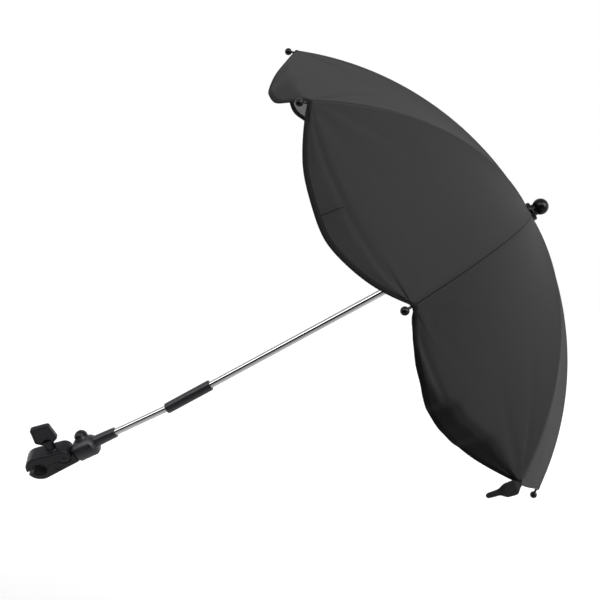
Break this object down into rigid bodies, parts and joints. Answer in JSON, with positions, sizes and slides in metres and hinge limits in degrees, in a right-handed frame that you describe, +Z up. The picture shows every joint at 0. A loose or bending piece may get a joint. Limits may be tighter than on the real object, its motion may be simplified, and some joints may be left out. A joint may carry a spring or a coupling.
{
  "type": "pram parasol",
  "caption": "Folding parasol with a tube clamp, a swivel head, a jointed pole with a sliding lock sleeve, and a ribbed fabric canopy for shading a pram.",
  "frame": {"origin": "middle of the gripped tube's axis, between the clamp's two jaws", "axes": "+Z up and the pole rising towards +X as pictured; the gripped tube lies in the YZ half of the frame, turned about the arm by the swivel"},
  "size_m": [0.7862, 0.7022, 0.6198],
  "materials": {
    "black_plastic": "moulded satin black",
    "rubber_pads": "matte black rubber",
    "plated_steel": "zinc-plated steel",
    "chrome_tube": "polished chrome",
    "gloss_black": "glossy black",
    "rib_steel": "black lacquered steel wire",
    "canopy_cloth": "woven polyester, silver-coated inside",
    "strap_cloth": "woven black tape"
  },
  "bodies": {
    "clamp": {"lower_jaw": "black_plastic", "lower_jaw_pad": "rubber_pads", "jaw_hinge_pin": "plated_steel", "barrel_nut": "plated_steel", "friction_washer": "rubber_pads"},
    "jaw": {"upper_jaw": "black_plastic", "upper_jaw_pad": "rubber_pads"},
    "washer": {"thrust_washer": "plated_steel"},
    "knob": {"wing_knob": "black_plastic", "clamp_screw": "plated_steel"},
    "head": {"swivel_head": "black_plastic", "button_spring": "plated_steel", "lower_pole": "chrome_tube", "knee_tongue": "plated_steel"},
    "button": {"lock_button": "black_plastic"},
    "upper": {"upper_pole": "chrome_tube", "knee_fork": "plated_steel", "knee_pin": "plated_steel", "top_notch": "black_plastic", "notch_pins": "plated_steel", "top_ferrule": "gloss_black", "finial_ball": "gloss_black"},
    "sleeve": {"knee_sleeve": "black_plastic"},
    "runner": {"runner": "black_plastic", "runner_pins": "plated_steel"},
    "rib_1": {"rib_1": "rib_steel", "rib_tip_1": "gloss_black"},
    "stretcher_1": {"stretcher_1": "rib_steel"},
    "gore_1": {"gore_1": "canopy_cloth"},
    "rib_2": {"rib_2": "rib_steel", "rib_tip_2": "gloss_black", "tie_strap": "strap_cloth"},
    "stretcher_2": {"stretcher_2": "rib_steel"},
    "gore_2": {"gore_2": "canopy_cloth"},
    "rib_3": {"rib_3": "rib_steel", "rib_tip_3": "gloss_black"},
    "stretcher_3": {"stretcher_3": "rib_steel"},
    "gore_3": {"gore_3": "canopy_cloth"},
    "rib_4": {"rib_4": "rib_steel", "rib_tip_4": "gloss_black"},
    "stretcher_4": {"stretcher_4": "rib_steel"},
    "gore_4": {"gore_4": "canopy_cloth"},
    "rib_5": {"rib_5": "rib_steel", "rib_tip_5": "gloss_black"},
    "stretcher_5": {"stretcher_5": "rib_steel"},
    "gore_5": {"gore_5": "canopy_cloth"},
    "rib_6": {"rib_6": "rib_steel", "rib_tip_6": "gloss_black"},
    "stretcher_6": {"stretcher_6": "rib_steel"},
    "gore_6": {"gore_6": "canopy_cloth"},
    "rib_7": {"rib_7": "rib_steel", "rib_tip_7": "gloss_black"},
    "stretcher_7": {"stretcher_7": "rib_steel"},
    "gore_7": {"gore_7": "canopy_cloth"},
    "rib_8": {"rib_8": "rib_steel", "rib_tip_8": "gloss_black"},
    "stretcher_8": {"stretcher_8": "rib_steel"},
    "gore_8": {"gore_8": "canopy_cloth"}
  },
  "joints": [
    {"name": "knob_turn", "type": "hinge", "parent": "washer", "child": "knob", "pos_m": [0.02497, 0.00013, 0.01141], "axis": [-0.1322, -0.6017, 0.7877], "range_deg": [0, 1800]},
    {"name": "washer_lift", "type": "slide", "parent": "clamp", "child": "washer", "axis": [-0.1322, -0.6017, 0.7877], "range_m": [0, 0.01]},
    {"name": "jaw_open", "type": "hinge", "parent": "clamp", "child": "jaw", "pos_m": [0.03863, -0.00154, 0.0201], "axis": [-0.2592, 0.788, 0.5584], "range_deg": [0, 16]},
    {"name": "swivel_turn", "type": "hinge", "parent": "clamp", "child": "head", "pos_m": [0.05792, 0.0048, 0.02011], "axis": [0.907, 0, 0.421], "continuous": true},
    {"name": "button_press", "type": "slide", "parent": "head", "child": "button", "axis": [0.421, 0, -0.907], "range_m": [0, 0.0025], "stiffness_N_per_m": 900, "deforming": ["button_spring"]},
    {"name": "knee_bend", "type": "hinge", "parent": "head", "child": "upper", "pos_m": [0.20467, 0.0048, 0.0911], "axis": [0, -1, 0], "range_deg": [0, 75]},
    {"name": "sleeve_slide", "type": "slide", "parent": "upper", "child": "sleeve", "axis": [0.881, 0, 0.4732], "range_m": [0, 0.05]},
    {"name": "rib_fold_1", "type": "hinge", "parent": "upper", "child": "rib_1", "pos_m": [0.70642, -0.00658, 0.3587], "axis": [0.4682, 0.1444, -0.8717], "range_deg": [0, 60]},
    {"name": "rib_fold_2", "type": "hinge", "parent": "upper", "child": "rib_2", "pos_m": [0.71, -0.00207, 0.35204], "axis": [0.2828, 0.8018, -0.5265], "range_deg": [0, 60], "deforming": ["tie_strap"]},
    {"name": "rib_fold_3", "type": "hinge", "parent": "upper", "child": "rib_3", "pos_m": [0.71102, 0.00646, 0.35013], "axis": [-0.0683, 0.9895, 0.1272], "range_deg": [0, 60]},
    {"name": "rib_fold_4", "type": "hinge", "parent": "upper", "child": "rib_4", "pos_m": [0.70889, 0.01402, 0.35411], "axis": [-0.3794, 0.5976, 0.7063], "range_deg": [0, 60]},
    {"name": "rib_fold_5", "type": "hinge", "parent": "upper", "child": "rib_5", "pos_m": [0.70485, 0.01618, 0.36162], "axis": [-0.4682, -0.1444, 0.8717], "range_deg": [0, 60]},
    {"name": "rib_fold_6", "type": "hinge", "parent": "upper", "child": "rib_6", "pos_m": [0.70127, 0.01167, 0.36828], "axis": [-0.2828, -0.8018, 0.5265], "range_deg": [0, 60]},
    {"name": "rib_fold_7", "type": "hinge", "parent": "upper", "child": "rib_7", "pos_m": [0.70025, 0.00314, 0.37018], "axis": [0.0683, -0.9895, -0.1272], "range_deg": [0, 60]},
    {"name": "rib_fold_8", "type": "hinge", "parent": "upper", "child": "rib_8", "pos_m": [0.70238, -0.00442, 0.36621], "axis": [0.3794, -0.5976, -0.7063], "range_deg": [0, 60]},
    {"name": "stretcher_swing_1", "type": "hinge", "parent": "rib_1", "child": "stretcher_1", "pos_m": [0.68685, -0.16392, 0.32213], "axis": [0.4682, 0.1444, -0.8717], "range_deg": [-120, 0]},
    {"name": "stretcher_swing_2", "type": "hinge", "parent": "rib_2", "child": "stretcher_2", "pos_m": [0.73989, -0.0971, 0.22338], "axis": [0.2828, 0.8018, -0.5265], "range_deg": [-120, 0]},
    {"name": "stretcher_swing_3", "type": "hinge", "parent": "rib_3", "child": "stretcher_3", "pos_m": [0.75503, 0.02942, 0.19518], "axis": [-0.0683, 0.9895, 0.1272], "range_deg": [-120, 0]},
    {"name": "stretcher_swing_4", "type": "hinge", "parent": "rib_4", "child": "stretcher_4", "pos_m": [0.72342, 0.14151, 0.25404], "axis": [-0.3794, 0.5976, 0.7063], "range_deg": [-120, 0]},
    {"name": "stretcher_swing_5", "type": "hinge", "parent": "rib_5", "child": "stretcher_5", "pos_m": [0.66356, 0.17352, 0.3655], "axis": [-0.4682, -0.1444, 0.8717], "range_deg": [-120, 0]},
    {"name": "stretcher_swing_6", "type": "hinge", "parent": "rib_6", "child": "stretcher_6", "pos_m": [0.61052, 0.1067, 0.46425], "axis": [-0.2828, -0.8018, 0.5265], "range_deg": [-120, 0]},
    {"name": "stretcher_swing_7", "type": "hinge", "parent": "rib_7", "child": "stretcher_7", "pos_m": [0.59537, -0.01981, 0.49245], "axis": [0.0683, -0.9895, -0.1272], "range_deg": [-120, 0]},
    {"name": "stretcher_swing_8", "type": "hinge", "parent": "rib_8", "child": "stretcher_8", "pos_m": [0.62699, -0.13191, 0.43359], "axis": [0.3794, -0.5976, -0.7063], "range_deg": [-120, 0]},
    {"name": "runner_slide", "type": "hinge", "parent": "stretcher_1", "child": "runner", "pos_m": [0.64555, -0.00658, 0.32601], "axis": [0.4682, 0.1444, -0.8717], "range_deg": [0, 60]},
    {"name": "gather_1", "type": "hinge", "parent": "rib_1", "child": "gore_1", "pos_m": [0.70865, -0.00589, 0.35454], "axis": [-0.6284, 0.7579, 0.1753], "range_deg": [0, 44.12], "deforming": ["gore_1"]},
    {"name": "gather_2", "type": "hinge", "parent": "rib_2", "child": "gore_2", "pos_m": [0.71134, 0.00175, 0.34953], "axis": [-0.8193, 0.2164, 0.5309], "range_deg": [0, 44.12], "deforming": ["gore_2"]},
    {"name": "gather_3", "type": "hinge", "parent": "rib_3", "child": "gore_3", "pos_m": [0.71069, 0.01118, 0.35074], "axis": [-0.7732, -0.4518, 0.445], "range_deg": [0, 44.12], "deforming": ["gore_3"]},
    {"name": "gather_4", "type": "hinge", "parent": "rib_4", "child": "gore_4", "pos_m": [0.70708, 0.01687, 0.35747], "axis": [-0.517, -0.8554, -0.032], "range_deg": [0, 44.12], "deforming": ["gore_4"]},
    {"name": "gather_5", "type": "hinge", "parent": "rib_5", "child": "gore_5", "pos_m": [0.70262, 0.01549, 0.36577], "axis": [-0.2008, -0.7579, -0.6207], "range_deg": [0, 44.12], "deforming": ["gore_5"]},
    {"name": "gather_6", "type": "hinge", "parent": "rib_6", "child": "gore_6", "pos_m": [0.69992, 0.00786, 0.37079], "axis": [-0.0099, -0.2164, -0.9762], "range_deg": [0, 44.12], "deforming": ["gore_6"]},
    {"name": "gather_7", "type": "hinge", "parent": "rib_7", "child": "gore_7", "pos_m": [0.70058, -0.00157, 0.36958], "axis": [-0.056, 0.4518, -0.8904], "range_deg": [0, 44.12], "deforming": ["gore_7"]},
    {"name": "gather_8", "type": "hinge", "parent": "rib_8", "child": "gore_8", "pos_m": [0.70419, -0.00726, 0.36285], "axis": [-0.3122, 0.8554, -0.4134], "range_deg": [0, 44.12], "deforming": ["gore_8"]}
  ],
  "couplings": [
    {"joint": "knob_turn", "follows": "washer_lift", "rad_per_m": 3141.6},
    {"joint": "jaw_open", "follows": "washer_lift", "rad_per_m": 27.925},
    {"joint": "sleeve_slide", "follows": "knee_bend", "m_per_rad": 0.038197},
    {"joint": "rib_fold_2", "follows": "rib_fold_1", "ratio": 1},
    {"joint": "rib_fold_3", "follows": "rib_fold_1", "ratio": 1},
    {"joint": "rib_fold_4", "follows": "rib_fold_1", "ratio": 1},
    {"joint": "rib_fold_5", "follows": "rib_fold_1", "ratio": 1},
    {"joint": "rib_fold_6", "follows": "rib_fold_1", "ratio": 1},
    {"joint": "rib_fold_7", "follows": "rib_fold_1", "ratio": 1},
    {"joint": "rib_fold_8", "follows": "rib_fold_1", "ratio": 1},
    {"joint": "stretcher_swing_1", "follows": "rib_fold_1", "ratio": -2},
    {"joint": "stretcher_swing_2", "follows": "rib_fold_1", "ratio": -2},
    {"joint": "stretcher_swing_3", "follows": "rib_fold_1", "ratio": -2},
    {"joint": "stretcher_swing_4", "follows": "rib_fold_1", "ratio": -2},
    {"joint": "stretcher_swing_5", "follows": "rib_fold_1", "ratio": -2},
    {"joint": "stretcher_swing_6", "follows": "rib_fold_1", "ratio": -2},
    {"joint": "stretcher_swing_7", "follows": "rib_fold_1", "ratio": -2},
    {"joint": "stretcher_swing_8", "follows": "rib_fold_1", "ratio": -2},
    {"joint": "runner_slide", "follows": "rib_fold_1", "ratio": 1},
    {"joint": "gather_1", "follows": "rib_fold_1", "ratio": 0.73541},
    {"joint": "gather_2", "follows": "rib_fold_1", "ratio": 0.73541},
    {"joint": "gather_3", "follows": "rib_fold_1", "ratio": 0.73541},
    {"joint": "gather_4", "follows": "rib_fold_1", "ratio": 0.73541},
    {"joint": "gather_5", "follows": "rib_fold_1", "ratio": 0.73541},
    {"joint": "gather_6", "follows": "rib_fold_1", "ratio": 0.73541},
    {"joint": "gather_7", "follows": "rib_fold_1", "ratio": 0.73541},
    {"joint": "gather_8", "follows": "rib_fold_1", "ratio": 0.73541}
  ]
}
